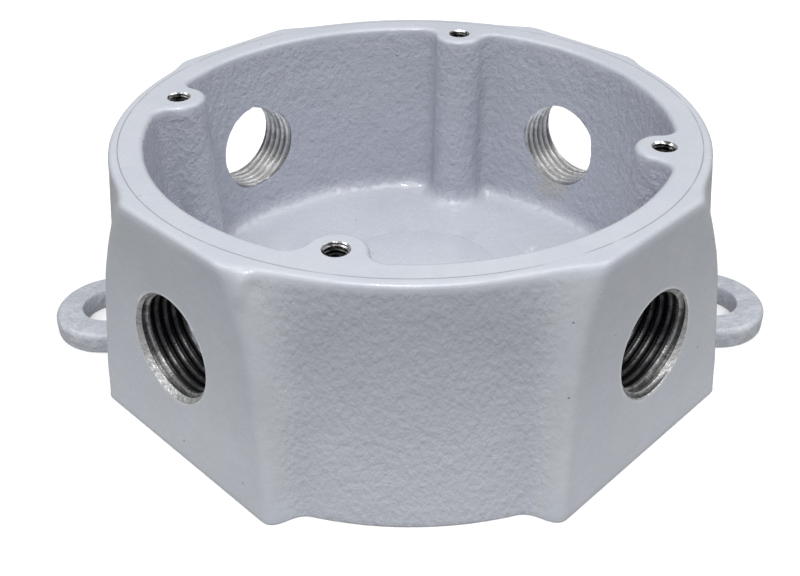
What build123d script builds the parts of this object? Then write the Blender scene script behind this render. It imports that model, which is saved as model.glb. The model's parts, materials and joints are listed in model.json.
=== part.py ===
"""Round cast outlet box with four threaded conduit entries, two mounting lugs and a ground screw.

Frame: the mounting face lies on Z = 0 with the round wall's axis on +Z, and the lugs point along X.
The four conduit entries lie on the diagonals. All sizes are in millimetres.
"""

import os
from math import atan, cos, degrees, radians, sin, tan

from build123d import *

# ---- casting: round wall and cavity ----
height = 47.3
rim_radius = 58.6  # outside of the wall at the open rim
rim_width = 6.5
wall_flare = 5.3  # the outside of the wall grows by this from the rim to the mounting face
cavity_draft = 0.5  # degrees, narrower towards the floor
floor_thickness = 4.0
floor_fillet = 3.0
rim_inner_round = 1.5

# ---- conduit entries: flat drafted pads with a threaded hole ----
entry_angles = (45, 135, 225, 315)
pad_inset = 0.9  # a pad's face lies this far inside the wall's outside, at the mounting face
pad_draft = 4.9  # degrees, the face leans back towards the rim
pad_base_half_width = 25.8
pad_shoulder_half_width = 22.8
pad_shoulder_height = 25.0
pad_top_half_width = 14.3
pad_offset = 1.5  # the pads stand off their entries, away from the lugs
pad_depth = 9.0  # how far a pad's sides run back into the wall
pad_side_flare = 33.0  # degrees, the sides widen towards the wall
entry_height = 23.6  # mounting face to the entry's axis
entry_radius = 9.6  # over the thread crests
entry_chamfer = 0.8

# ---- cover-screw bosses, four columns inside the wall ----
cover_screw_count = 4
cover_screw_inset = 2.45  # a hole's centre lies this far inside the cavity's wall
cover_screw_turn = -14.5  # degrees, first hole from +X
cover_screw_hole_radius = 2.2
cover_screw_hole_depth = 14.0
boss_radius = 5.5
boss_root_fillet = 3.5

# ---- mounting lugs ----
lug_hole_offset = 2.3  # a lug's hole centre lies this far outside the wall's foot
lug_offset = -1.9  # the lugs lie this far off the X axis
lug_radius = 11.7
lug_thickness = 4.5
lug_hole_radius = 5.7

# ---- ground screw, its boss and its washers ----
ground_x = 0.0
ground_y = -24.0
ground_boss_radius = 6.5
ground_boss_height = 4.0
ground_hole_depth = 6.2
ground_thread_radius = 2.4
thread_clearance = 0.05  # radial, screw to its tapped hole
washer_clearance = 0.3  # radial, screw to its washers
clamp_width = 10.4
clamp_thickness = 1.2
clamp_lip_height = 0.9
clamp_lip_thickness = 1.0
clamp_corner = 1.2
lock_washer_radius = 4.1
lock_washer_thickness = 1.2
lock_washer_gap = 0.9
screw_length = 8.0  # under the head
screw_tip_chamfer = 0.5
flange_radius = 5.2
flange_thickness = 1.0
hex_across_flats = 7.9
hex_height = 2.9
hex_edge_chamfer = 0.4
slot_width = 1.2
slot_depth = 1.3

# ---- worked out from the sizes above ----
base_radius = rim_radius + wall_flare
cavity_radius = rim_radius - rim_width
pad_distance = base_radius - pad_inset
cover_screw_radius = cavity_radius - cover_screw_inset
lug_hole_distance = base_radius + lug_hole_offset
wall_draft = degrees(atan((base_radius - rim_radius) / height))
cavity_depth = height - floor_thickness
cavity_floor_radius = cavity_radius - cavity_depth * tan(radians(cavity_draft))
boss_reach = base_radius - cover_screw_radius
wall_at_lug = base_radius - cavity_radius
ground_boss_top = floor_thickness + ground_boss_height
ground_hole_radius = ground_thread_radius + thread_clearance
washer_bore_radius = ground_thread_radius + washer_clearance
lock_washer_bottom = ground_boss_top + clamp_thickness
head_bottom = lock_washer_bottom + lock_washer_thickness
hex_bottom = head_bottom + flange_thickness
ground_plane = Plane(origin=(ground_x, ground_y, 0))
ground_reach = (ground_x**2 + ground_y**2) ** 0.5 + ground_boss_radius
boss_root_radius = (cover_screw_radius + cavity_floor_radius) / 2
lug_root = cavity_radius + wall_at_lug / 2
entry_cut_depth = 2 * (pad_distance - cavity_floor_radius)


def entry_plane(angle, distance, lean, at_height=0.0):
    """A plane facing outwards at this angle round the box, leaning back by lean degrees."""
    turn, tip = radians(angle), radians(lean)
    return Plane(
        origin=(distance * cos(turn), distance * sin(turn), at_height),
        x_dir=(-sin(turn), cos(turn), 0),
        z_dir=(cos(turn) * cos(tip), sin(turn) * cos(tip), sin(tip)),
    )


def radius_at(point):
    """Distance of a point from the box's axis."""
    return (point.X**2 + point.Y**2) ** 0.5


# ---- box body: one casting ----
with BuildPart() as box_body:
    # the round wall, solid for now
    with BuildSketch():
        Circle(base_radius)
    extrude(amount=height, taper=wall_draft)

    # the four conduit pads, flat in front and flaring back into the wall
    pad_height = height / cos(radians(pad_draft))
    for angle in entry_angles:
        front = entry_plane(angle, pad_distance, pad_draft)
        away_from_lug = front.x_dir if angle % 180 < 90 else -front.x_dir
        pad_middle = front.origin + away_from_lug * pad_offset
        into_wall = Plane(origin=pad_middle, x_dir=-front.x_dir, z_dir=-front.z_dir)
        with BuildSketch(into_wall):
            with BuildLine():
                half = [
                    (pad_base_half_width, 0),
                    (pad_shoulder_half_width, pad_shoulder_height),
                    (pad_top_half_width, pad_height),
                ]
                right_side = Line(half[0], half[1])
                right_shoulder = TangentArc(half[1], half[2], tangent=right_side % 1)
                Line(half[2], (-half[2][0], half[2][1]))
                mirror(right_side, about=Plane.YZ)
                mirror(right_shoulder, about=Plane.YZ)
                Line((-half[0][0], 0), half[0])
            make_face()
        extrude(amount=pad_depth, taper=-pad_side_flare)
        # the wall's own bulge doesn't stand in front of the flat pad
        with BuildSketch(front):
            Rectangle(4 * base_radius, 4 * height)
        extrude(amount=base_radius, mode=Mode.SUBTRACT)

    # the flaring sides end at the mounting face and at the rim
    with BuildSketch(Plane.XY.offset(height)):
        Circle(2 * base_radius)
    extrude(amount=height, mode=Mode.SUBTRACT)
    with BuildSketch():
        Circle(2 * base_radius)
    extrude(amount=-height, mode=Mode.SUBTRACT)

    # the cavity, with a tongue of wall left standing round each cover screw
    with BuildSketch(Plane.XY.offset(floor_thickness)):
        Circle(cavity_floor_radius)
        with PolarLocations(0, cover_screw_count, start_angle=cover_screw_turn):
            with Locations((cover_screw_radius, 0)):
                Circle(boss_radius, mode=Mode.SUBTRACT)
            with Locations((cover_screw_radius + boss_reach / 2, 0)):
                Rectangle(boss_reach, 2 * boss_radius, mode=Mode.SUBTRACT)
    extrude(amount=cavity_depth, taper=-cavity_draft, mode=Mode.SUBTRACT)
    cut_edges = box_body.edges(Select.LAST)
    upright = cut_edges.filter_by(lambda edge: edge.bounding_box().size.Z > cavity_depth / 2)
    boss_roots = upright.filter_by(lambda edge: radius_at(edge.center()) > boss_root_radius)
    fillet(boss_roots, boss_root_fillet)

    # the ground screw's boss on the floor
    with BuildSketch(Plane.XY.offset(floor_thickness)):
        with Locations((ground_x, ground_y)):
            Circle(ground_boss_radius)
    extrude(amount=ground_boss_height)

    # the floor runs into the walls and the ground boss through a fillet
    floor_face = box_body.faces().filter_by(Plane.XY).filter_by_position(
        Axis.Z, floor_thickness, floor_thickness
    )
    fillet(floor_face.edges().filter_by(lambda edge: radius_at(edge.center()) > ground_reach), floor_fillet)

    # the rim is rounded inside and outside
    rim_face = box_body.faces().sort_by(Axis.Z)[-1]
    fillet(rim_face.inner_wires().edges(), rim_inner_round)

    # mounting lugs, one each side, flush with the mounting face
    for side in (-1, 1):
        with BuildSketch():
            with Locations((side * lug_hole_distance, lug_offset)):
                Circle(lug_radius)
            with Locations((side * (lug_hole_distance + lug_root) / 2, lug_offset)):
                Rectangle(lug_hole_distance - lug_root, 2 * lug_radius)
        extrude(amount=lug_thickness)
    with Locations(*[(side * lug_hole_distance, lug_offset, lug_thickness) for side in (-1, 1)]):
        Hole(lug_hole_radius, depth=lug_thickness)

    # conduit entries: a hole through the wall with a chamfered mouth
    for angle in entry_angles:
        with BuildSketch(entry_plane(angle, pad_distance, 0, entry_height)):
            Circle(entry_radius)
        extrude(amount=-entry_cut_depth, mode=Mode.SUBTRACT)
    entry_mouths = box_body.edges().filter_by(GeomType.ELLIPSE)
    chamfer(entry_mouths, entry_chamfer)

    # cover-screw holes down the four bosses
    with Locations(Plane.XY.offset(height)):
        with PolarLocations(cover_screw_radius, cover_screw_count, start_angle=cover_screw_turn):
            Hole(cover_screw_hole_radius, depth=cover_screw_hole_depth)

    # the tapped hole for the ground screw
    with Locations((ground_x, ground_y, ground_boss_top)):
        Hole(ground_hole_radius, depth=ground_hole_depth)
    box_body.part.label = "box_body"

# ---- ground clamp: a square washer with two lips that keep the wire under it ----
with BuildPart() as ground_clamp:
    with BuildSketch(ground_plane.offset(ground_boss_top)):
        RectangleRounded(clamp_width, clamp_width, clamp_corner)
        Circle(washer_bore_radius, mode=Mode.SUBTRACT)
    extrude(amount=clamp_thickness)
    with BuildSketch(ground_plane.offset(lock_washer_bottom)):
        for side in (-1, 1):
            with Locations((0, side * (clamp_width - clamp_lip_thickness) / 2)):
                Rectangle(clamp_width - 2 * clamp_corner, clamp_lip_thickness)
    extrude(amount=clamp_lip_height)
    ground_clamp.part.label = "ground_clamp"

# ---- split lock washer between the clamp and the screw's head ----
with BuildPart() as ground_lock_washer:
    with BuildSketch(ground_plane.offset(lock_washer_bottom)):
        Circle(lock_washer_radius)
        Circle(washer_bore_radius, mode=Mode.SUBTRACT)
        with Locations((lock_washer_radius, 0)):
            Rectangle(2 * lock_washer_radius, lock_washer_gap, mode=Mode.SUBTRACT)
    extrude(amount=lock_washer_thickness)
    ground_lock_washer.part.label = "ground_lock_washer"

# ---- ground screw: slotted hexagon head on a flange ----
with BuildPart() as ground_screw:
    with BuildSketch(ground_plane.offset(head_bottom - screw_length)):
        Circle(ground_thread_radius)
    extrude(amount=screw_length)
    chamfer(ground_screw.edges().sort_by(Axis.Z)[0], screw_tip_chamfer)
    with BuildSketch(ground_plane.offset(head_bottom)):
        Circle(flange_radius)
    extrude(amount=flange_thickness)
    with BuildSketch(ground_plane.offset(hex_bottom)):
        RegularPolygon(hex_across_flats / 2, 6, major_radius=False)
    extrude(amount=hex_height)
    chamfer(ground_screw.faces().sort_by(Axis.Z)[-1].edges(), hex_edge_chamfer)
    with BuildSketch(ground_plane.offset(hex_bottom + hex_height)):
        Rectangle(2 * hex_across_flats, slot_width)
    extrude(amount=-slot_depth, mode=Mode.SUBTRACT)
    ground_screw.part.label = "ground_screw"

os.makedirs("parts", exist_ok=True)
for piece in (box_body, ground_clamp, ground_lock_washer, ground_screw):
    export_step(piece.part, f"parts/{piece.part.label}.step")
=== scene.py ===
"""Looks of the round cast outlet box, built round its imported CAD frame.

Shapes are worked out in millimetres in the CAD frame, and become metres when a mesh is made.
Angles round the box start at +X and run counter-clockwise seen from above.
"""

import cmath
import json
import math

import bpy
import numpy as np
from mathutils import Matrix, Vector, noise


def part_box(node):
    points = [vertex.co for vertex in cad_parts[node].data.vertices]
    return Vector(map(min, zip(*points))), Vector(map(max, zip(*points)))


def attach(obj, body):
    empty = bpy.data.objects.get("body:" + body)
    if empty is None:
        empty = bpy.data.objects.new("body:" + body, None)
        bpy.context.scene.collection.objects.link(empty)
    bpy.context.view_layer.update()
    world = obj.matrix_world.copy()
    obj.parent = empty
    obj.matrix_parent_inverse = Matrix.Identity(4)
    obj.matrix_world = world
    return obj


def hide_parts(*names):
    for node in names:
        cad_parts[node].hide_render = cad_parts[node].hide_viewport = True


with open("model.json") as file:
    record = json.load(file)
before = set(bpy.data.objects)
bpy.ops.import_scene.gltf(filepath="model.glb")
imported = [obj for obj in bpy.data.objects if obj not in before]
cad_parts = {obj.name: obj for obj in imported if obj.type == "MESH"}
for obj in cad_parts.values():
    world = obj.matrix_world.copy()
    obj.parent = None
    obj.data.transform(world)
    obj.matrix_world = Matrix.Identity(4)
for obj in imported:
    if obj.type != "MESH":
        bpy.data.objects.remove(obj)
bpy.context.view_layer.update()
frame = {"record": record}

MM = 0.001
MOUNTS = {mount["name"]: mount for mount in frame["record"]["mounts"]}

# ---- sizes of the casting, as the CAD part has them ----
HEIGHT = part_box("box_body")[1].z / MM
BASE_RADIUS = 63.9
RIM_RADIUS = 58.6
CAVITY_RADIUS = 52.1
CAVITY_DRAFT = math.tan(math.radians(0.5))
FLOOR = 4.0
PAD_ANGLES = (45, 135, 225, 315)
PAD_DISTANCE = 63.0
PAD_LEAN = math.tan(math.radians(4.9))
PAD_BASE_HALF = 25.8
PAD_SHOULDER_HALF = 22.8
PAD_SHOULDER_HEIGHT = 25.0
PAD_TOP_HALF = 14.3
PAD_OFFSET = 1.5  # the pads stand off their entries, away from the lugs
ENTRY_HEIGHT = MOUNTS["entry_front_left"]["pos_m"][2] / MM
ENTRY_CREST = MOUNTS["entry_front_left"]["dims"]["r_mm"]
SCREW_CIRCLE = MOUNTS["cover_screws"]["dims"]["pcd_mm"] / 2
SCREW_COUNT = MOUNTS["cover_screws"]["dims"]["count"]
SCREW_TURN = math.radians(-14.5)
SCREW_HOLE = MOUNTS["cover_screws"]["dims"]["hole_r_mm"]
SCREW_DEPTH = 14.0
BOSS_RADIUS = 5.5
BOSS_FILLET = 3.5
LUG_X = MOUNTS["mounting_lugs"]["dims"]["spacing_x_mm"] / 2
LUG_Y = MOUNTS["mounting_lugs"]["pos_m"][1] / MM
LUG_RADIUS = 11.7
LUG_THICKNESS = 4.5
LUG_HOLE = MOUNTS["mounting_lugs"]["dims"]["hole_r_mm"]
GROUND_X, GROUND_Y = 0.0, -24.0
GROUND_BOSS_RADIUS = 6.5
GROUND_BOSS_TOP = 8.0

# ---- finer shape, seen only here ----
RIDGE_BLEND = 1.3  # how softly a pad's face turns into its sides
FOOT_RIDGE_BLEND = 3.0
VALLEY_BLEND = 1.8  # how softly a pad's sides run into the round wall
FOOT_FLARE = 16.0  # degrees, a pad's sides widen towards the wall, less at the foot
SHOULDER_FLARE = 33.0
TOP_FLARE = 52.0
RIM_OUTER_ROUND = 0.9
RIM_INNER_ROUND = 1.0
FOOT_ROUND = 0.4
FLOOR_FILLET = 4.0
LUG_ROUND = 1.4
FLOOR_DISC = (2.0, 10.5, 18.8, 0.2)  # x, y, radius and height of a shallow disc on the floor
STAIN = (35.5, 38.0, 13.5)  # middle of a faint stain inside
DRIP_ANGLE = 243.5  # degrees round the box, a run of paint below the rim
ENTRY_PITCH = 1.8143  # 14 threads to the inch
ENTRY_ROOT = ENTRY_CREST + 0.72
ENTRY_MOUTH = ENTRY_CREST + 1.0
SCREW_PITCH = 0.794
SCREW_CREST = SCREW_HOLE - 0.2
SCREW_ROOT = SCREW_HOLE + 0.25
THREAD_FLAT = 0.22  # share of a thread's pitch that its crest takes, and its root as well
SCREW_MAJOR = 2.4  # ground screw, over its thread
THREAD_DEPTH = 0.42
GROUND_HOLE = 2.46  # radius of its hole
HEX_HALF = 7.9 / 2
HEX_HEIGHT = 2.9
FLANGE = 1.0
FLANGE_RADIUS = 5.2
SLOT_WIDTH = 1.2
SLOT_DEPTH = 1.3
WASHER_BORE = 2.7
CLAMP_THICKNESS = 1.2
CLAMP_CORNER = 1.2
LIP_THICKNESS = 1.0
LOCK_GAP = 0.9
ENAMEL, THREAD, MOUTH, TAPPED = range(4)  # the casting's material slots

COLUMNS = 600  # points round the casting
ROW = 0.95  # mm between rows of points up a wall

# ---- shades of the enamel ----
PLAIN_GREY = (0.50, 0.525, 0.585)
PATCH_GREY = (0.53, 0.552, 0.605)
MOTTLE_GREY = (0.47, 0.495, 0.555)
PAD_GREY = (0.50, 0.535, 0.545)  # greenish streaks on the pads
WALL_GREY = (0.455, 0.475, 0.53)
SANDY_GREY = (0.44, 0.455, 0.53)
# painted highlight: pale patches that stand for glints on the lugs
LUG_GLINT = (0.62, 0.63, 0.66)
LUG_DARK = (0.42, 0.44, 0.49)
MOUTH_EDGE = (0.70, 0.71, 0.73)
STAIN_BROWN = (0.47, 0.46, 0.38)
LINE_GREY = (0.22, 0.23, 0.25)
SPECK_GREY = (0.16, 0.16, 0.16)


# ---- small mesh tools ----
def smooth_min(a, b, k):
    """The lesser of a and b, with the corner between them rounded over a width k."""
    h = np.clip(0.5 + 0.5 * (b - a) / k, 0, 1)
    return b + (a - b) * h - k * h * (1 - h)


def smooth_max(a, b, k):
    """The greater of a and b, with the corner rounded the same way."""
    return -smooth_min(-a, -b, k)


def smooth_step(lo, hi, x):
    """Runs smoothly from 0 to 1 while x goes from lo to hi."""
    t = np.clip((x - lo) / (hi - lo), 0, 1)
    return t * t * (3 - 2 * t)


def quarter_round(radius, steps):
    """Heights and setbacks of a rounded edge, from its upright side to its level side."""
    turn = np.linspace(0, math.pi / 2, steps + 1)
    return radius * np.sin(turn), radius * (1 - np.cos(turn))


def ring_strips(rings, count):
    """Quads between rings of count points each."""
    i = np.arange(count)
    j = np.arange(rings - 1)[:, None] * count
    nxt = (i + 1) % count
    return np.stack([j + i, j + nxt, j + count + nxt, j + count + i], -1).reshape(-1, 4).tolist()


def closed_faces(rings, count):
    """Quads between rings of count points each, and a fan over the first and the last ring.

    The fans' middles are the two points numbered after the rings.
    """
    faces = ring_strips(rings, count)
    last = (rings - 1) * count
    bottom, top = last + count, last + count + 1
    for i in range(count):
        j = (i + 1) % count
        faces.append([bottom, j, i])
        faces.append([top, last + i, last + j])
    return faces


def make_object(name, points, faces, materials=(), slot=0):
    """A mesh object from points in millimetres."""
    mesh = bpy.data.meshes.new(name)
    mesh.from_pydata((np.asarray(points, float) * MM).tolist(), [], faces)
    for material in materials:
        mesh.materials.append(material)
    mesh.polygons.foreach_set("material_index", [slot] * len(mesh.polygons))
    mesh.update()
    piece = bpy.data.objects.new(name, mesh)
    bpy.context.scene.collection.objects.link(piece)
    return piece


def lathe(name, profile, segments, materials=(), slot=0, centre=(0, 0)):
    """A closed solid turned about an upright axis. The profile runs (radius, z) from bottom to top."""
    x, y = centre
    turn = np.arange(segments) * 2 * math.pi / segments
    points = [(x + r * math.cos(t), y + r * math.sin(t), z) for r, z in profile for t in turn]
    points += [(x, y, profile[0][1]), (x, y, profile[-1][1])]
    return make_object(name, points, closed_faces(len(profile), segments), materials, slot)


def thread_faces(rows, per_turn, segments):
    """Faces of a helix of rows of points, closed by a fan at each end.

    The fans' middles are the two points numbered after the rows.
    """
    faces = []
    for k in range(rows - 1):
        for i in range(segments - 1):
            a = k * segments + i
            faces.append([a, a + 1, a + segments + 1, a + segments])
    # one turn on, the helix meets its own start: the last column joins the first, per_turn rows up
    for k in range(rows - 1 - per_turn):
        a, b = k * segments + segments - 1, (k + per_turn) * segments
        faces.append([a, b, b + segments, a + segments])
    start = list(range(segments)) + [k * segments for k in range(per_turn, 0, -1)]
    last_row = [(rows - 1) * segments + i for i in range(segments)]
    finish = [k * segments + segments - 1 for k in range(rows - 1 - per_turn, rows - 1)] + last_row[::-1]
    for middle, loop in ((rows * segments, start), (rows * segments + 1, finish)):
        faces += [[middle, loop[(i + 1) % len(loop)], loop[i]] for i in range(len(loop))]
    return faces


def thread_core(name, crest, root, pitch, length, segments, materials=(), slot=0, tip=0.0):
    """A closed screw-shaped solid on +Z from z = 0, whose radius swings between crest and root.

    The rows of points follow the helix, so that every crest and root is a clean edge.
    The far end closes at a centre point that stands tip beyond the last turn.
    """
    flat, slope = THREAD_FLAT, (1 - 2 * THREAD_FLAT) / 2
    profile = [(0, crest), (flat, crest), (flat + slope, root), (2 * flat + slope, root)]
    turns = math.ceil(length / pitch)
    per_turn = len(profile)
    rows = turns * per_turn + 1
    points = []
    for k in range(rows):
        share, radius = profile[k % per_turn]
        z = (k // per_turn + share) * pitch
        for i in range(segments):
            t = i / segments
            way = 2 * math.pi * t
            points.append((radius * math.cos(way), radius * math.sin(way), z + t * pitch))
    points += [(0, 0, pitch / 2), (0, 0, turns * pitch + pitch / 2 + tip)]
    return make_object(name, points, thread_faces(rows, per_turn, segments), materials, slot)


def combine(piece, tool, operation):
    """Adds the tool's solid to the piece or cuts it away, and takes the tool out of the scene."""
    step = piece.modifiers.new(operation, "BOOLEAN")
    step.operation = operation
    step.solver = "MANIFOLD"
    step.object = tool
    graph = bpy.context.evaluated_depsgraph_get()
    made = bpy.data.meshes.new_from_object(piece.evaluated_get(graph))
    piece.modifiers.clear()
    worn = piece.data
    piece.data = made
    bpy.data.meshes.remove(worn)
    bpy.data.objects.remove(tool)


def shade(piece, degrees):
    """Smooth shading with crisp edges where faces turn by more than the angle."""
    piece.data.polygons.foreach_set("use_smooth", [True] * len(piece.data.polygons))
    piece.data.set_sharp_from_angle(angle=math.radians(degrees))


def place(tool, origin, direction, roll=0.0):
    """Stands a tool made on +Z at an origin in millimetres, pointing in a direction."""
    turn = Vector(direction).to_track_quat("Z", "Y").to_matrix().to_4x4()
    tool.matrix_world = Matrix.Translation(Vector(origin) * MM) @ turn @ Matrix.Rotation(roll, 4, "Z")


# ---- outside of the casting: one radius for each direction and height ----
def from_entry(turn):
    """Angle from the nearest entry's centre, positive on the side away from the lugs."""
    quarter = math.pi / 2
    signed = (turn % quarter) - quarter / 2
    return np.where((turn // quarter) % 2 == 0, signed, -signed)


def pad_half_width(z):
    """Half the width of a pad's flat face at height z: a straight side, then an arc tangent to it."""
    run, rise = PAD_SHOULDER_HALF - PAD_BASE_HALF, PAD_SHOULDER_HEIGHT
    length = math.hypot(run, rise)
    across, up = run / length, rise / length
    # the arc's centre lies square to the side, as far from the shoulder as from the pad's top corner
    dx, dz = PAD_TOP_HALF - PAD_SHOULDER_HALF, HEIGHT - PAD_SHOULDER_HEIGHT
    radius = (dx * dx + dz * dz) / (2 * (dz * across - dx * up))
    centre_x, centre_z = PAD_SHOULDER_HALF - radius * up, PAD_SHOULDER_HEIGHT + radius * across
    straight = PAD_BASE_HALF + run * z / rise
    arc = centre_x + np.sqrt(np.maximum(radius**2 - (z - centre_z) ** 2, 0))
    return np.where(z < PAD_SHOULDER_HEIGHT, straight, arc)


def edge_setback(z):
    """How far the outside is set in by the rounded rim and by the small radius at the foot."""
    top = np.clip((z - HEIGHT) / RIM_OUTER_ROUND + 1, 0, 1)
    foot = np.clip(1 - z / FOOT_ROUND, 0, 1)
    return RIM_OUTER_ROUND * (1 - np.sqrt(1 - top**2)) + FOOT_ROUND * (1 - np.sqrt(1 - foot**2))


def outside_radius(turn, z):
    """Radius of the casting's outside at this angle round the box and this height."""
    away = np.abs(from_entry(turn))
    face_at = PAD_DISTANCE - PAD_LEAN * z
    half = pad_half_width(z) + PAD_OFFSET * np.sign(from_entry(turn))
    wall = BASE_RADIUS + (RIM_RADIUS - BASE_RADIUS) * z / HEIGHT
    slope = np.tan(away)
    flare = FOOT_FLARE + (SHOULDER_FLARE - FOOT_FLARE) * smooth_step(0, PAD_SHOULDER_HEIGHT, z)
    flare = flare + (TOP_FLARE - SHOULDER_FLARE) * smooth_step(PAD_SHOULDER_HEIGHT, HEIGHT - 2, z)
    face = face_at / np.cos(away)
    back = (face_at * slope - half) / (np.tan(np.radians(flare)) + slope)
    side = (face_at - back) / np.cos(away)
    # a ridge starts soft at the foot and is crisp a little higher up
    ridge_blend = FOOT_RIDGE_BLEND + (RIDGE_BLEND - FOOT_RIDGE_BLEND) * smooth_step(0, 9, z)
    block = smooth_min(face, side, ridge_blend)
    ridge_stands = np.hypot(half, face_at) - wall
    valley = np.clip(0.8 * ridge_stands, 0.3, VALLEY_BLEND)
    outer = smooth_max(block, wall, valley)
    ridge_at = np.arctan2(half, face_at)
    # the flat face cuts the wall's bulge away
    blend = smooth_step(-0.6, 0.0, (away - ridge_at) * face_at / 2)
    return block + (outer - block) * blend - edge_setback(z)


# ---- the cavity: a round wall with four screw bosses ----
class CavityOutline:
    """The cavity's outline at the rim, as samples of its arcs. Points are complex numbers."""

    def __init__(self, count):
        root = CAVITY_RADIUS - BOSS_FILLET
        reach = BOSS_RADIUS + BOSS_FILLET
        turn = math.acos((root**2 + SCREW_CIRCLE**2 - reach**2) / (2 * root * SCREW_CIRCLE))
        fillet_at = cmath.rect(root, turn)
        touch = cmath.phase(fillet_at - SCREW_CIRCLE)
        right = math.pi / 2
        # centre, first and last direction, radius, and the radius's growth as the outline shrinks
        arcs = [
            (SCREW_CIRCLE, math.pi, touch, BOSS_RADIUS, 1),
            (fillet_at, touch - math.pi, turn, BOSS_FILLET, -1),
            (0, turn, right - turn, CAVITY_RADIUS, -1),
            (fillet_at.conjugate() * 1j, right - turn, 3 * right - touch, BOSS_FILLET, -1),
            (SCREW_CIRCLE * 1j, right - touch, -right, BOSS_RADIUS, 1),
        ]
        ends = np.cumsum([0] + [abs(last - first) * radius for _, first, last, radius, _ in arcs])
        along = (np.arange(count // SCREW_COUNT) + 0.5) / (count // SCREW_COUNT) * ends[-1]
        self.centre, self.way, self.radius, self.growth = [], [], [], []
        for k in range(SCREW_COUNT):
            spin = cmath.rect(1, SCREW_TURN + k * right)
            for s in along:
                n = min(int(np.searchsorted(ends, s, "right")) - 1, len(arcs) - 1)
                centre, first, last, radius, growth = arcs[n]
                way = first + (last - first) * (s - ends[n]) / (ends[n + 1] - ends[n])
                self.centre.append(centre * spin)
                self.way.append(cmath.rect(1, way) * spin)
                self.radius.append(radius)
                self.growth.append(growth)
        self.centre, self.way = np.array(self.centre), np.array(self.way)
        self.radius, self.growth = np.array(self.radius), np.array(self.growth)

    def inset(self, distance):
        """The outline moved inwards by a distance."""
        return self.centre + (self.radius + self.growth * distance) * self.way


def ring(outline, z):
    """Points of an outline of complex numbers at a height."""
    z = np.broadcast_to(z, outline.shape)
    return np.stack([outline.real, outline.imag, z], -1)


def up_wall(start, end, step):
    """Evenly spaced heights from start to end, about a step apart."""
    return np.linspace(start, end, round((end - start) / step) + 1)


def outside_rings(turn):
    """Rings from near the underside's middle, up the outside and round the rim's outer edge."""
    foot = ring(outside_radius(turn, np.zeros(1)) * np.exp(1j * turn), 0.0)
    rings = [foot * (share, share, 1) for share in (0.1, 0.35, 0.6, 0.85, 0.985)]
    rounding, _ = quarter_round(RIM_OUTER_ROUND, 6)
    heights = [0, 0.07, 0.2, *up_wall(FOOT_ROUND, HEIGHT - RIM_OUTER_ROUND, ROW)]
    heights += list(HEIGHT - RIM_OUTER_ROUND + rounding[1:])
    for z in heights:
        rings.append(ring(outside_radius(turn, np.array([z])) * np.exp(1j * turn), z))
    return rings


def cavity_rings(outline):
    """Rings from the rim's inner edge, down the cavity's wall and in to near the floor's middle."""
    rings = []
    drop, setback = quarter_round(RIM_INNER_ROUND, 6)
    for low, in_ in zip(RIM_INNER_ROUND - drop[::-1], setback[::-1]):
        rings.append(ring(outline.inset(-in_), HEIGHT - low))
    for z in up_wall(FLOOR + FLOOR_FILLET, HEIGHT - RIM_INNER_ROUND, ROW)[::-1][1:]:
        rings.append(ring(outline.inset((HEIGHT - z) * CAVITY_DRAFT), z))
    draft = (HEIGHT - FLOOR) * CAVITY_DRAFT
    fillet_rise, fillet_in = quarter_round(FLOOR_FILLET, 7)
    for rise, in_ in zip(fillet_rise[1:], fillet_in[1:]):
        rings.append(ring(outline.inset(draft + in_), FLOOR + FLOOR_FILLET - rise))
    edge = rings[-1]
    for share in (0.98, 0.94, 0.88, 0.8, 0.7, 0.6, 0.5, 0.4, 0.3, 0.2, 0.1):
        rings.append(edge * (share, share, 1))
    return rings


def casting_skin():
    """Points and faces of the casting before its holes are cut, ring by ring."""
    outline = CavityOutline(COLUMNS)
    lip = outline.inset(-RIM_INNER_ROUND)
    rings = outside_rings(np.angle(lip))
    brink, lip_ring = rings[-1], ring(lip, HEIGHT)
    for share in (0.05, 0.25, 0.5, 0.75, 0.95):
        rings.append(brink + (lip_ring - brink) * share)
    rings += cavity_rings(outline)
    points = np.vstack([*rings, (0, 0, 0), (0, 0, FLOOR)])
    return points, closed_faces(len(rings), COLUMNS)


def paint_run(turn, z):
    """How far a run of paint below the rim stands out of the wall, with a dent beside it."""
    aside = (np.degrees(turn) + 360 - DRIP_ANGLE) % 360
    aside = np.where(aside > 180, aside - 360, aside)
    below = HEIGHT - 1.2 - z
    run = np.exp(-((aside / 0.9) ** 2)) * smooth_step(-1.2, 0.2, below) * smooth_step(5.5, 3.0, below)
    dent = np.exp(-(((aside - 2.2) / 1.3) ** 2) - ((below - 1.6) / 1.1) ** 2)
    return 0.6 * run - 0.3 * dent


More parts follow.
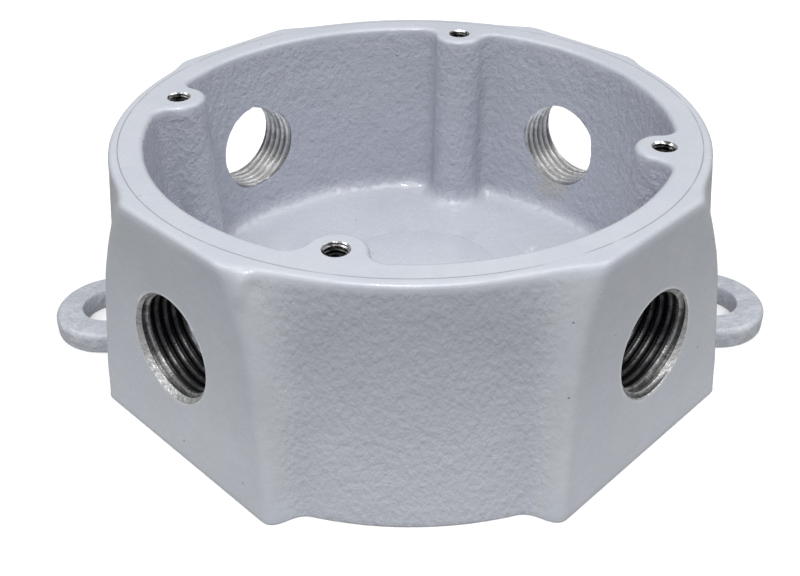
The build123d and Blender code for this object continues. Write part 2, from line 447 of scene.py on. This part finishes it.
def skin_shift(points):
    """How far each point moves outwards: sandy lumps on the cavity's walls, a gentle ripple outside."""
    radius = np.hypot(points[:, 0], points[:, 1])
    turn = np.arctan2(points[:, 1], points[:, 0])
    z = points[:, 2]
    below_rim = smooth_step(HEIGHT, HEIGHT - 1.8, z)
    inside = (radius < CAVITY_RADIUS + 1) & (z > FLOOR - 0.1)
    on_floor = inside & (z < FLOOR + 0.05)
    sandy = np.where(inside & ~on_floor, below_rim * smooth_step(FLOOR, FLOOR + 2.5, z), 0)
    in_fillet = inside * smooth_step(FLOOR + 4.5, FLOOR + 2, z) * smooth_step(FLOOR, FLOOR + 0.3, z)
    outside = (~inside) & (z > 0.01)
    ripple = np.where(outside, below_rim * smooth_step(0.0, 2.0, z), 0)
    pad_edge = pad_half_width(z) + PAD_OFFSET * np.sign(from_entry(turn))
    off_pad = np.abs(from_entry(turn)) - np.arctan2(pad_edge, PAD_DISTANCE)
    pad = smooth_step(2.0, -1.0, off_pad * 60)  # about in millimetres along the wall

    def lumps(size, shift):
        return np.array([noise.noise(Vector(p) / size + shift) for p in points])

    fine, mid = lumps(1.2, Vector((9, 1, 4))), lumps(2.0, Vector((3, 7, 2)))
    broad, swell = lumps(6.5, Vector((5, 2, 8))), lumps(17, Vector((1, 6, 3)))
    shift = sandy * (0.10 * fine + 0.16 * mid + 0.14 * broad)
    shift += ripple * (1 - pad) * (0.035 * fine + 0.05 * mid + 0.07 * broad + 0.1 * swell)
    shift += ripple * pad * (0.015 * fine + 0.02 * mid + 0.03 * broad + 0.09 * swell)
    shift += np.where(on_floor, 0.035 * broad + 0.05 * swell, 0)
    shift += in_fillet * (0.14 * mid + 0.22 * broad)
    return shift + np.where(outside, paint_run(turn, z), 0)


def roughen(piece):
    """Gives the casting its uneven skin, with the mounting face and the rim kept inside their planes."""
    mesh = piece.data
    points = np.empty(3 * len(mesh.vertices), np.float32)
    normals = points.copy()
    mesh.vertices.foreach_get("co", points)
    mesh.vertex_normals.foreach_get("vector", normals)
    points, normals = points.reshape(-1, 3) / MM, normals.reshape(-1, 3)
    points += normals * skin_shift(points)[:, None]
    points[:, 2] = np.clip(points[:, 2], 0, HEIGHT)
    mesh.vertices.foreach_set("co", (points * MM).ravel())
    mesh.update()


def stack(name, rings, materials):
    """A closed solid from rings of points, bottom ring first."""
    rings = [np.asarray(r, float) for r in rings]
    points = np.vstack([*rings, rings[0].mean(0), rings[-1].mean(0)])
    return make_object(name, points, closed_faces(len(rings), len(rings[0])), materials)


def lug(side, materials):
    """One mounting lug: a slab with a round end and softened edges, rooted in the wall."""
    turn = np.linspace(-math.pi / 2, math.pi / 2, 49)
    root = CAVITY_RADIUS + 4
    rise, inset = quarter_round(LUG_ROUND, 6)
    levels = [(0, 0.35), (0.35, 0)] + [(LUG_THICKNESS - LUG_ROUND + a, b) for a, b in zip(rise, inset)]
    rings = []
    for z, in_ in levels:
        radius = LUG_RADIUS - in_
        end = LUG_X + radius * np.exp(1j * turn)
        back = np.array([root + 1j * radius, root - 1j * radius])
        rings.append(ring(side * np.concatenate([end, back]) + 1j * LUG_Y, z))
    return stack("lug", rings, materials)


def cut_entries(body, materials):
    """Four tapped conduit entries, each with a bevelled mouth square to its leaning pad."""
    start, reach = CAVITY_RADIUS - 6, 20.0  # the thread's cutter starts inside the cavity
    bevel = ENTRY_MOUTH - ENTRY_CREST
    profile = [(ENTRY_CREST - 0.1, -bevel - 0.1), (ENTRY_MOUTH, 0), (ENTRY_MOUTH + 0.6, 0.6)]
    face = PAD_DISTANCE - PAD_LEAN * ENTRY_HEIGHT
    for degrees in PAD_ANGLES:
        turn = math.radians(degrees)
        out = Vector((math.cos(turn), math.sin(turn), 0))
        core = thread_core("core", ENTRY_CREST, ENTRY_ROOT, ENTRY_PITCH, reach, 72, materials, THREAD)
        place(core, out * start + Vector((0, 0, ENTRY_HEIGHT)), out, turn)
        combine(body, core, "DIFFERENCE")
        cone = lathe("cone", profile, 96, materials, MOUTH)
        place(cone, out * face + Vector((0, 0, ENTRY_HEIGHT)), out + Vector((0, 0, PAD_LEAN)))
        combine(body, cone, "DIFFERENCE")


def cut_screw_holes(body, materials):
    """Four tapped cover-screw holes, one down each boss."""
    for k in range(SCREW_COUNT):
        at = cmath.rect(SCREW_CIRCLE, SCREW_TURN + k * math.pi / 2)
        core = thread_core("core", SCREW_CREST, SCREW_ROOT, SCREW_PITCH, SCREW_DEPTH, 28,
                           materials, TAPPED, tip=1.2)
        place(core, (at.real, at.imag, HEIGHT + SCREW_PITCH), (0, 0, -1), k)
        combine(body, core, "DIFFERENCE")
        profile = [(SCREW_HOLE - 0.3, HEIGHT - 0.55), (SCREW_HOLE + 0.35, HEIGHT + 0.1)]
        combine(body, lathe("mouth", profile, 40, materials, TAPPED, (at.real, at.imag)), "DIFFERENCE")


def raise_floor(body, materials):
    """The ground screw's boss with its spreading root, and a shallow disc."""
    steps = [(1.8, FLOOR - 0.5), (1.4, FLOOR), (0.6, FLOOR + 0.2), (0.2, FLOOR + 0.7), (0, FLOOR + 1.5),
             (-0.1, GROUND_BOSS_TOP - 0.6), (-0.3, GROUND_BOSS_TOP - 0.2), (-0.7, GROUND_BOSS_TOP)]
    boss = [(GROUND_BOSS_RADIUS + out, z) for out, z in steps]
    combine(body, lathe("boss", boss, 72, materials, ENAMEL, (GROUND_X, GROUND_Y)), "UNION")
    x, y, radius, rise = FLOOR_DISC
    steps = [(0.3, FLOOR - 0.6), (0.3, FLOOR), (0, FLOOR + 0.5 * rise), (-0.35, FLOOR + rise)]
    disc = [(radius + out, z) for out, z in steps]
    combine(body, lathe("disc", disc, 144, materials, ENAMEL, (x, y)), "UNION")


def cut_plain_holes(body, materials):
    """The lugs' holes with softened edges, and the ground screw's hole."""
    steps = [(0.5, -0.2), (0.2, 0.1), (0, 0.5), (0, LUG_THICKNESS - 0.5), (0.15, LUG_THICKNESS - 0.15),
             (0.5, LUG_THICKNESS + 0.3)]
    hole = [(LUG_HOLE + out, z) for out, z in steps]
    for side in (-1, 1):
        tool = lathe("lug_hole", hole, 72, materials, ENAMEL, (side * LUG_X, LUG_Y))
        combine(body, tool, "DIFFERENCE")
    bore = [(GROUND_HOLE - 0.16, 1.9), (GROUND_HOLE, 2.2), (GROUND_HOLE, GROUND_BOSS_TOP - 0.3),
            (GROUND_HOLE + 0.44, GROUND_BOSS_TOP + 0.15)]
    combine(body, lathe("bore", bore, 40, materials, TAPPED, (GROUND_X, GROUND_Y)), "DIFFERENCE")


def build_casting(materials):
    """The whole casting: its skin, roughened, with lugs and floor added and every hole cut."""
    points, faces = casting_skin()
    body = make_object("cast_body", points, faces, materials)
    roughen(body)
    for side in (-1, 1):
        combine(body, lug(side, materials), "UNION")
    raise_floor(body, materials)
    cut_entries(body, materials)
    cut_screw_holes(body, materials)
    cut_plain_holes(body, materials)
    shade(body, 35)
    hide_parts("box_body")
    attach(body, "box")


# ---- the ground screw and its washers ----
def soften(piece, width):
    """Rounds a piece's sharp edges and settles the mesh."""
    bevel = piece.modifiers.new("soft_edges", "BEVEL")
    bevel.width = width * MM
    bevel.segments = 2
    bevel.limit_method = "ANGLE"
    bevel.angle_limit = math.radians(40)
    graph = bpy.context.evaluated_depsgraph_get()
    made = bpy.data.meshes.new_from_object(piece.evaluated_get(graph))
    piece.modifiers.clear()
    piece.data = made


def finish_piece(piece, node, body):
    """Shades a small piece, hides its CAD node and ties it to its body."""
    shade(piece, 30)
    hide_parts(node)
    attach(piece, body)


def polygon(sides, apothem, z):
    """A level polygon about the ground screw's axis. The apothem is half its width across flats."""
    turn = (np.arange(sides) + 0.5) * 2 * math.pi / sides
    reach = apothem / math.cos(math.pi / sides)
    return ring(GROUND_X + 1j * GROUND_Y + reach * np.exp(1j * turn), z)


def build_ground_screw(metal):
    """A slotted hexagon screw with a flange under its head and a rolled thread."""
    low, high = (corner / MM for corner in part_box("ground_screw"))
    head_top, flange_bottom = high.z, high.z - HEX_HEIGHT - FLANGE
    centre = (GROUND_X, GROUND_Y)
    # the hexagon and the shank start inside the flange, which joins them
    hexagons = [polygon(6, HEX_HALF, z) for z in (flange_bottom + 0.3, head_top)]
    screw = stack("hex_screw", hexagons, [metal])
    # the cone takes the hexagon's top corners off
    past_corners = HEX_HALF + 1.6
    cone = [(past_corners, flange_bottom), (past_corners, head_top - 0.85), (HEX_HALF - 0.15, head_top)]
    combine(screw, lathe("top_cone", cone, 96, [metal], 0, centre), "INTERSECT")
    along, half = 9, SLOT_WIDTH / 2
    plan = ((-along, -half), (along, -half), (along, half), (-along, half))
    slot_points = [(GROUND_X + x, GROUND_Y + y, head_top + z) for z in (-SLOT_DEPTH, 1) for x, y in plan]
    sides = [[3, 2, 1, 0], [4, 5, 6, 7], [0, 1, 5, 4], [1, 2, 6, 5], [2, 3, 7, 6], [3, 0, 4, 7]]
    combine(screw, make_object("slot", slot_points, sides, [metal]), "DIFFERENCE")
    steps = [(FLANGE_RADIUS - 0.12, 0), (FLANGE_RADIUS, 0.12), (FLANGE_RADIUS, 0.5),
             (FLANGE_RADIUS - 0.2, 0.75), (HEX_HALF + 0.2, FLANGE + 0.05), (HEX_HALF - 1, FLANGE + 0.1)]
    flange = [(r, flange_bottom + rise) for r, rise in steps]
    combine(screw, lathe("flange", flange, 72, [metal], 0, centre), "UNION")
    soften(screw, 0.1)
    length = flange_bottom - low.z - 1.2
    root = SCREW_MAJOR - THREAD_DEPTH
    shank = thread_core("shank", root, SCREW_MAJOR, SCREW_PITCH, length, 32, [metal], tip=0.1)
    place(shank, (GROUND_X, GROUND_Y, flange_bottom + 0.2), (0, 0, -1))
    combine(screw, shank, "UNION")
    finish_piece(screw, "ground_screw", "ground_screw")


def build_ground_clamp(metal):
    """A square clamp washer, two of its edges turned up."""
    low, high = (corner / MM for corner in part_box("ground_clamp"))
    half = (high.x - low.x) / 2
    plate_top = low.z + CLAMP_THICKNESS
    lip = half - LIP_THICKNESS
    # one side's outline from the underside, round the turned-up edge and onto the plate, then the other's
    right_side = [(half - 0.5, low.z), (half - 0.15, low.z + 0.15), (half, low.z + 0.5), (half, high.z),
                  (lip, high.z), (lip, plate_top + 0.3), (lip - 0.1, plate_top + 0.1),
                  (lip - 0.3, plate_top)]
    profile = right_side + [(-y, z) for y, z in right_side[::-1]]
    count = len(profile)
    points = [(GROUND_X + x, GROUND_Y + y, z) for x in (-half, half) for y, z in profile]
    faces = ring_strips(2, count) + [list(range(count))[::-1], list(range(count, 2 * count))]
    clamp = make_object("clamp_washer", points, faces, [metal])
    # only what lies inside a square with rounded corners is kept
    corner_at, right = half - CLAMP_CORNER, math.pi / 2
    arcs = []
    for sx, sy, start in ((1, 1, 0), (-1, 1, right), (-1, -1, 2 * right), (1, -1, 3 * right)):
        turn = start + np.linspace(0, right, 9)
        arcs.append(corner_at * (sx + 1j * sy) + CLAMP_CORNER * np.exp(1j * turn))
    outline = GROUND_X + 1j * GROUND_Y + np.concatenate(arcs)
    tool = stack("outline", [ring(outline, low.z - 1), ring(outline, high.z + 1)], [metal])
    combine(clamp, tool, "INTERSECT")
    bore = [(WASHER_BORE, low.z - 0.5), (WASHER_BORE, high.z + 0.5)]
    combine(clamp, lathe("bore", bore, 48, [metal], 0, (GROUND_X, GROUND_Y)), "DIFFERENCE")
    soften(clamp, 0.09)
    finish_piece(clamp, "ground_clamp", "ground_clamp")


def build_lock_washer(metal):
    """A split spring washer with slanting ends at its cut."""
    low, high = (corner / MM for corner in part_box("ground_lock_washer"))
    outer, thick = (high.y - low.y) / 2, high.z - low.z
    gap = LOCK_GAP / outer
    turn = np.linspace(gap / 2, 2 * math.pi - gap / 2, 61)
    r0, r1, e = WASHER_BORE, outer, 0.12
    # radius, and height as a share of the thickness, round the washer's section
    section = [(r0 + e, 0), (r1 - e, 0), (r1, e), (r1, 1 - e),
               (r1 - e, 1), (r0 + e, 1), (r0, 1 - e), (r0, e)]
    rings = []
    for t in turn:
        to_end = min(t, 2 * math.pi - t) - gap / 2
        slant = 0.35 * (1 if t > math.pi else -1) * smooth_step(0.35, 0, to_end)
        points = []
        for r, h in section:
            way = t + slant * (h - 0.5) / outer
            x, y = GROUND_X + r * math.cos(way), GROUND_Y + r * math.sin(way)
            points.append((x, y, low.z + h * thick))
        rings.append(points)
    washer = stack("split_washer", rings, [metal])
    washer.data.flip_normals()
    finish_piece(washer, "ground_lock_washer", "ground_clamp")


# ---- materials ----
class Surface:
    """A principled material and the nodes that feed it, in the object's own coordinates, metres."""

    def __init__(self, name, **values):
        self.material = bpy.data.materials.new(name)
        self.material.use_nodes = True
        self.tree = self.material.node_tree
        self.shader = self.tree.nodes["Principled BSDF"]
        for socket, value in values.items():
            self.set(self.shader, socket.replace("_", " "), value)
        self.place = self.add("ShaderNodeTexCoord").outputs["Object"]

    def set(self, node, socket, value):
        """Links a socket's value from another node, or sets it."""
        target = node.inputs[socket]
        if isinstance(value, bpy.types.NodeSocket):
            self.tree.links.new(value, target)
        else:
            target.default_value = value

    def add(self, kind, inputs=(), **settings):
        """A new node with its inputs and settings."""
        node = self.tree.nodes.new(kind)
        for key, value in settings.items():
            setattr(node, key, value)
        for socket, value in dict(inputs).items():
            self.set(node, socket, value)
        return node

    def times(self, value, *others):
        """The product of all the values."""
        for other in others:
            value = self.math("MULTIPLY", value, other)
        return value

    def plus(self, a, b):
        return self.math("ADD", a, b)

    def minus(self, a, b):
        return self.math("SUBTRACT", a, b)

    def math(self, operation, a, b=0.0):
        return self.add("ShaderNodeMath", {0: a, 1: b}, operation=operation).outputs[0]

    def vector(self, operation, a, b=(0, 0, 0)):
        node = self.add("ShaderNodeVectorMath", {0: a, 1: b}, operation=operation)
        return node.outputs["Value" if operation in ("LENGTH", "DISTANCE") else "Vector"]

    def ramp(self, value, low, high, to_low=0.0, to_high=1.0):
        """Runs smoothly from to_low to to_high while the value goes from low to high."""
        inputs = {"Value": value, "From Min": low, "From Max": high, "To Min": to_low, "To Max": to_high}
        return self.add("ShaderNodeMapRange", inputs, interpolation_type="SMOOTHSTEP").outputs["Result"]

    def noise(self, size, detail=3.0, stretch=(1, 1, 1), roughness=0.5, shift=(0, 0, 0)):
        """Noise whose lumps are about size millimetres across."""
        where = self.vector("ADD", self.vector("MULTIPLY", self.place, stretch), shift)
        inputs = {"Vector": where, "Scale": 1 / (size * MM), "Detail": detail, "Roughness": roughness}
        return self.add("ShaderNodeTexNoise", inputs).outputs["Fac"]

    def mix(self, share, a, b):
        """The colour a, with a share of the colour b."""
        node = self.add("ShaderNodeMix", data_type="RGBA")
        for socket, value in zip((0, 6, 7), (share, a, b)):
            if not isinstance(value, (float, int, bpy.types.NodeSocket)) and len(value) == 3:
                value = (*value, 1)
            self.set(node, socket, value)
        return node.outputs[2]

    def scale(self, colour, share):
        inputs = {0: colour, "Scale": share}
        return self.add("ShaderNodeVectorMath", inputs, operation="SCALE").outputs["Vector"]

    def entry_distance(self):
        """Distances from the nearest entry's axis and along it, with the plan folded at both axes."""
        folded = self.add("ShaderNodeSeparateXYZ", {0: self.vector("ABSOLUTE", self.place)})
        x, y, z = folded.outputs
        aside = self.times(self.minus(x, y), math.sqrt(0.5))
        along = self.times(self.plus(x, y), math.sqrt(0.5))
        up = self.minus(z, ENTRY_HEIGHT * MM)
        squares = self.plus(self.math("POWER", aside, 2.0), self.math("POWER", up, 2.0))
        return self.math("SQRT", squares), along

    def part(self, axis):
        return self.add("ShaderNodeSeparateXYZ", {0: self.place}).outputs["XYZ".index(axis)]

    def bump(self, height, distance, strength, normal=None):
        """A normal tilted by relief of up to distance millimetres, on top of another normal."""
        inputs = {"Height": height, "Distance": distance * MM, "Strength": strength}
        if normal:
            inputs["Normal"] = normal
        return self.add("ShaderNodeBump", inputs).outputs[0]

    def finish(self, colour, roughness=None, normal=None):
        """Feeds the shader and hands over the material."""
        for socket, value in (("Base Color", colour), ("Roughness", roughness), ("Normal", normal)):
            if value is not None:
                self.set(self.shader, socket, value)
        return self.material


class Zones:
    """Which part of the casting a point lies on, as shares from 0 to 1 from a surface's nodes."""

    def __init__(self, s):
        self.height = s.part("Z")
        self.radius = s.vector("LENGTH", s.vector("MULTIPLY", s.place, (1, 1, 0)))
        inner, outer = (CAVITY_RADIUS + 0.2) * MM, (CAVITY_RADIUS + 1.2) * MM
        self.inside = s.ramp(self.radius, inner, outer, 1.0, 0.0)
        below_rim = s.ramp(self.height, (HEIGHT - 2.5) * MM, (HEIGHT - 0.6) * MM, 1.0, 0.0)
        above_floor = s.ramp(self.height, (FLOOR + 0.3) * MM, (FLOOR + 3) * MM)
        self.sandy = s.times(self.inside, below_rim, above_floor)
        self.outside = s.times(s.minus(1.0, self.inside), below_rim)

        # the round wall between the pads: a pad's face lies at a steady distance along its own diagonal
        self.off_axis, along = s.entry_distance()
        face = s.plus(along, s.times(self.height, PAD_LEAN))
        off_pad = s.ramp(face, (PAD_DISTANCE - 6.5) * MM, (PAD_DISTANCE - 3.0) * MM, 1.0, 0.0)
        off_face = s.ramp(face, (PAD_DISTANCE - 5.0) * MM, (PAD_DISTANCE - 0.8) * MM, 1.0, 0.0)
        self.wall = s.times(off_pad, self.outside)
        self.grainy = s.times(self.outside, off_face)
        near_middle = s.ramp(s.math("ABSOLUTE", s.part("Y")), 14 * MM, 18 * MM, 1.0, 0.0)
        off_wall = s.ramp(self.radius, (BASE_RADIUS + 0.2) * MM, (BASE_RADIUS + 1) * MM)
        self.lug = s.times(near_middle, off_wall)


def enamel_grey(s, zone, mottle):
    """The enamel's colour, zone by zone, with painted light: lighter outside near the foot, and pale
    glints on the lugs.
    """
    patches = s.noise(16, 4)
    streaks = s.noise(5, 3, (1, 1, 0.16), shift=(0.2, 0.5, 0.1))
    grey = s.mix(s.ramp(patches, 0.35, 0.65), PLAIN_GREY, PATCH_GREY)
    grey = s.mix(s.ramp(mottle, 0.3, 0.75, 0.0, 0.35), grey, MOTTLE_GREY)
    on_pads = s.minus(zone.outside, zone.wall)
    grey = s.mix(s.times(s.ramp(streaks, 0.42, 0.68, 0.0, 0.5), on_pads), grey, PAD_GREY)
    grey = s.mix(s.times(zone.wall, 0.75), grey, WALL_GREY)
    grey = s.mix(s.times(zone.sandy, 0.75), grey, SANDY_GREY)

    # painted light: the outside is lighter near its foot, standing for bounce from the floor, and darker
    # towards the rim
    painted_bounce = s.ramp(zone.height, 2 * MM, 48 * MM, 0.17, -0.17)
    grey = s.scale(grey, s.plus(1.0, s.times(s.minus(zone.outside, zone.lug), painted_bounce)))
    # painted highlight: the pale patches on the lugs stand for glints; the dark patches are mottling
    blotch_and_glint = s.ramp(s.noise(2.2, 3, roughness=0.6, shift=(0.7, 0.7, 0.1)), 0.45, 0.6)
    grey = s.mix(s.times(zone.lug, blotch_and_glint, 0.3), grey, LUG_GLINT)
    return s.mix(s.times(zone.lug, s.minus(0.5, s.times(blotch_and_glint, 0.5))), grey, LUG_DARK)


def enamel_marks(s, zone, mottle, grey):
    """Marks on the enamel: pale rings round the entries, a stain inside and a line on the rim."""
    edge = s.ramp(zone.off_axis, (ENTRY_MOUTH + 0.15) * MM, (ENTRY_MOUTH + 0.6) * MM, 1.0, 0.0)
    edge = s.times(edge, zone.outside, s.ramp(mottle, 0.4, 0.55, 0.15, 0.8))
    grey = s.mix(edge, grey, MOUTH_EDGE)
    to_stain = s.vector("DISTANCE", s.place, tuple(part * MM for part in STAIN))
    stain = s.times(s.ramp(to_stain, 2 * MM, 8 * MM, 0.6, 0.0), s.ramp(mottle, 0.35, 0.6))
    grey = s.mix(stain, grey, STAIN_BROWN)

    # a thin dark line on the rim near its outer edge, where a cover has sat
    off_line = s.math("ABSOLUTE", s.minus(zone.radius, (RIM_RADIUS - 1.75) * MM))
    line = s.ramp(off_line, 0.05 * MM, 0.17 * MM, 1.0, 0.0)
    on_top = s.ramp(zone.height, (HEIGHT - 0.5) * MM, (HEIGHT - 0.2) * MM)
    broken = s.ramp(s.noise(9, 2), 0.3, 0.5, 0.1, 0.8)
    return s.mix(s.times(line, on_top, broken), grey, LINE_GREY)


def dots(s, spacing, shift, channel, rare, size):
    """Small round dots, in the few cells about spacing millimetres wide whose draw passes the limits."""
    inputs = {"Vector": s.vector("ADD", s.place, shift), "Scale": 1 / (spacing * MM)}
    cells = s.add("ShaderNodeTexVoronoi", inputs)
    draw = s.add("ShaderNodeSeparateColor", {0: cells.outputs["Color"]}).outputs[channel]
    return s.times(s.ramp(cells.outputs["Distance"], *size, 1.0, 0.0), s.ramp(draw, *rare))


def enamel_relief(s, zone, bumps):
    """The enamel's fine relief: sandy inside and on the lugs, grainy outside, and single bumps."""
    fine = s.noise(0.6, 2, roughness=0.55)
    sand = s.noise(1.1, 3, (1, 1, 0.75), roughness=0.6, shift=(0.1, 0.4, 0.3))
    peel = s.noise(0.95, 2, (1, 1, 0.65), roughness=0.55, shift=(0.6, 0.2, 0.4))
    coarse = s.plus(s.times(zone.sandy, 0.8), s.times(zone.inside, 0.12))
    normal = s.bump(sand, 0.55, s.plus(coarse, s.times(zone.lug, 0.5)))
    normal = s.bump(fine, 0.16, s.plus(s.times(zone.sandy, 0.5), 0.12), normal)
    normal = s.bump(peel, 0.42, s.plus(s.times(zone.grainy, 0.55), 0.16), normal)
    return s.bump(bumps, 0.14, 0.7, normal)


def enamel():
    """Light bluish-grey semi-gloss enamel over a sand casting."""
    s = Surface("grey_enamel", Coat_Weight=0.5, Coat_Roughness=0.035, Specular_IOR_Level=0.35)
    zone = Zones(s)
    mottle = s.noise(3.5, 3, shift=(0.3, 0.1, 0.2))
    specks = dots(s, 4.2, (0, 0, 0), 0, (0.83, 0.86), (0.03, 0.075))
    pimples = dots(s, 5.5, (0.3, 0.2, 0.1), 1, (0.78, 0.8), (0.02, 0.085))
    grey = enamel_marks(s, zone, mottle, enamel_grey(s, zone, mottle))
    grey = s.mix(s.times(specks, 0.6), grey, SPECK_GREY)
    normal = enamel_relief(s, zone, s.minus(pimples, specks))
    rough = s.plus(s.ramp(mottle, 0.3, 0.7, 0.24, 0.34), s.times(zone.sandy, 0.05))
    return s.finish(grey, rough, normal)


def entry_metal():
    """Bare tapped metal of the conduit entries: bright crests, roots darkened as painted shade, most in
    the front pair.
    """
    s = Surface("bare_thread", Metallic=1.0)
    off_axis, along = s.entry_distance()
    front = s.ramp(s.part("Y"), -15 * MM, 15 * MM, 1.0, 0.0)
    grime = s.noise(2.8, 4, roughness=0.65)
    depth = s.plus(off_axis, s.times(grime, 0.25 * MM))
    root = s.ramp(depth, (ENTRY_CREST + 0.2) * MM, (ENTRY_ROOT - 0.1) * MM)
    # painted shade: the dull dark patches are heavier in the front pair, which lie in shade
    worn = s.times(s.ramp(grime, 0.42, 0.62), s.ramp(front, 0, 1, 0.45, 1))
    metal = s.mix(worn, (0.88, 0.88, 0.88), (0.34, 0.34, 0.345))
    # painted shade: the front pair is darkened, more so further in, standing for the shade inside them
    front_shade = s.times(front, s.ramp(along, (PAD_DISTANCE - 6.0) * MM, (PAD_DISTANCE - 3.6) * MM, 0.85, 0.1))
    metal = s.mix(front_shade, metal, (0.03, 0.03, 0.033))
    # painted shade in the thread roots, deepest where the front pair is darkened
    dark = s.times(root, s.ramp(front_shade, 0, 0.8, 0.5, 0.97))
    metal = s.mix(dark, metal, (0.015, 0.015, 0.017))
    scratch = s.noise(0.5, 3, (0.25, 0.25, 3.0))
    normal = s.bump(scratch, 0.1, 0.6)
    return s.finish(metal, s.ramp(grime, 0.3, 0.7, 0.24, 0.45), normal)


def mouth_metal():
    """The entries' bevelled mouths, cut through the enamel into bright metal."""
    s = Surface("bevel_metal", Metallic=1.0)
    torn = s.noise(1.1, 4, roughness=0.65)
    metal = s.mix(s.ramp(torn, 0.35, 0.7), (0.80, 0.80, 0.79), (0.40, 0.41, 0.42))
    return s.finish(metal, s.ramp(torn, 0.3, 0.7, 0.35, 0.6), s.bump(torn, 0.25, 0.8))


def tapped_metal():
    """Bare metal of the small tapped holes, bright in patches and near-black in others as painted shade.
    """
    s = Surface("tapped_metal", Metallic=1.0)
    dull_and_shade = s.noise(1.5, 2)
    # painted shade: the near-black patches stand for the shade down the holes
    metal = s.mix(s.ramp(dull_and_shade, 0.4, 0.6), (0.8, 0.8, 0.8), (0.06, 0.06, 0.065))
    return s.finish(metal, s.ramp(dull_and_shade, 0.3, 0.7, 0.18, 0.4), s.bump(dull_and_shade, 0.06, 0.5))


def plated_metal(name, light, dark, roughness):
    """Plated steel with faint handling marks."""
    s = Surface(name, Metallic=1.0)
    cloud = s.noise(1.6, 4)
    marks = s.noise(0.35, 2, (1, 6, 1))
    colour = s.mix(s.ramp(cloud, 0.35, 0.7), light, dark)
    rough = s.ramp(cloud, 0.3, 0.7, roughness, roughness + 0.14)
    return s.finish(colour, rough, s.bump(marks, 0.02, 0.4))


# ---- stage ----
def build_stage():
    """A pale floor under the box."""
    far = 4000
    corners = [(-far, -far, 0), (far, -far, 0), (far, far, 0), (-far, far, 0)]
    floor = make_object("floor", corners, [[0, 1, 2, 3]])
    s = Surface("pale_floor", Roughness=0.8, Specular_IOR_Level=0.2)
    tone = s.ramp(s.noise(300, 2), 0.3, 0.7)
    floor.data.materials.append(s.finish(s.mix(tone, (0.97, 0.97, 0.975), (1.0, 1.0, 1.0))))
    floor.visible_diffuse = False  # the surround alone lights the box from below
    floor.visible_glossy = False


def area_light(name, at, towards, size, power):
    """A rectangular light at a place in millimetres, facing another."""
    lamp = bpy.data.lights.new(name, "AREA")
    lamp.shape = "RECTANGLE"
    lamp.size, lamp.size_y = size[0] * MM, size[1] * MM
    lamp.energy = power
    light = bpy.data.objects.new(name, lamp)
    light.location = Vector(at) * MM
    light.rotation_euler = (Vector(towards) - Vector(at)).to_track_quat("-Z", "Y").to_euler()
    bpy.context.scene.collection.objects.link(light)


def sun_light(name, towards, tilt, width, strength):
    """A soft distant light, tilted off the vertical, from the front at 0 degrees and the right at 90."""
    lamp = bpy.data.lights.new(name, "SUN")
    lamp.energy = strength
    lamp.angle = math.radians(width)
    turn, tip = math.radians(towards), math.radians(tilt)
    source = Vector((math.sin(turn) * math.sin(tip), -math.cos(turn) * math.sin(tip), math.cos(tip)))
    light = bpy.data.objects.new(name, lamp)
    light.rotation_euler = (-source).to_track_quat("-Z", "Y").to_euler()
    bpy.context.scene.collection.objects.link(light)


def build_lights():
    """An even pale surround, three soft lights overhead and a small one for the crisp highlights."""
    world = bpy.data.worlds.new("surround")
    world.use_nodes = True
    world.node_tree.nodes["Background"].inputs["Color"].default_value = (1, 1, 1, 1)
    world.node_tree.nodes["Background"].inputs["Strength"].default_value = 0.34
    bpy.context.scene.world = world
    sun_light("front_light", 0, 28, 40, 1.43)
    sun_light("left_light", -90, 35, 40, 0.7)
    sun_light("right_light", 90, 35, 40, 0.78)
    area_light("sparkle", (-60, -330, 640), (0, 0, 20), (120, 40), 1.0)


def build_camera():
    """The camera stands in front of the box and looks down on it by about a third of a right angle."""
    distance, elevation = 227.49, math.radians(34.22)
    azimuth, roll = math.radians(-0.04), math.radians(-0.451)
    aim = Vector((-2.168, 0, 6.971))
    level = math.cos(elevation)
    back = Vector((math.sin(azimuth) * level, -math.cos(azimuth) * level, math.sin(elevation)))
    camera = bpy.data.objects.new("camera", bpy.data.cameras.new("camera"))
    camera.data.lens, camera.data.sensor_width = 46.281, 36
    camera.data.clip_start, camera.data.clip_end = 0.01, 20
    turn = (-back).to_track_quat("-Z", "Y").to_matrix().to_4x4()
    stand = Matrix.Translation((aim + back * distance) * MM)
    camera.matrix_world = stand @ turn @ Matrix.Rotation(roll, 4, "Z")
    bpy.context.scene.collection.objects.link(camera)
    bpy.context.scene.camera = camera


bpy.context.scene.view_settings.view_transform = "Standard"
build_stage()
build_lights()
build_camera()
build_casting([enamel(), entry_metal(), mouth_metal(), tapped_metal()])

zinc = plated_metal("zinc_plate", (0.80, 0.80, 0.76), (0.62, 0.64, 0.64), 0.24)
build_ground_clamp(zinc)
build_lock_washer(zinc)
build_ground_screw(plated_metal("green_plate", (0.045, 0.33, 0.12), (0.03, 0.22, 0.09), 0.22))
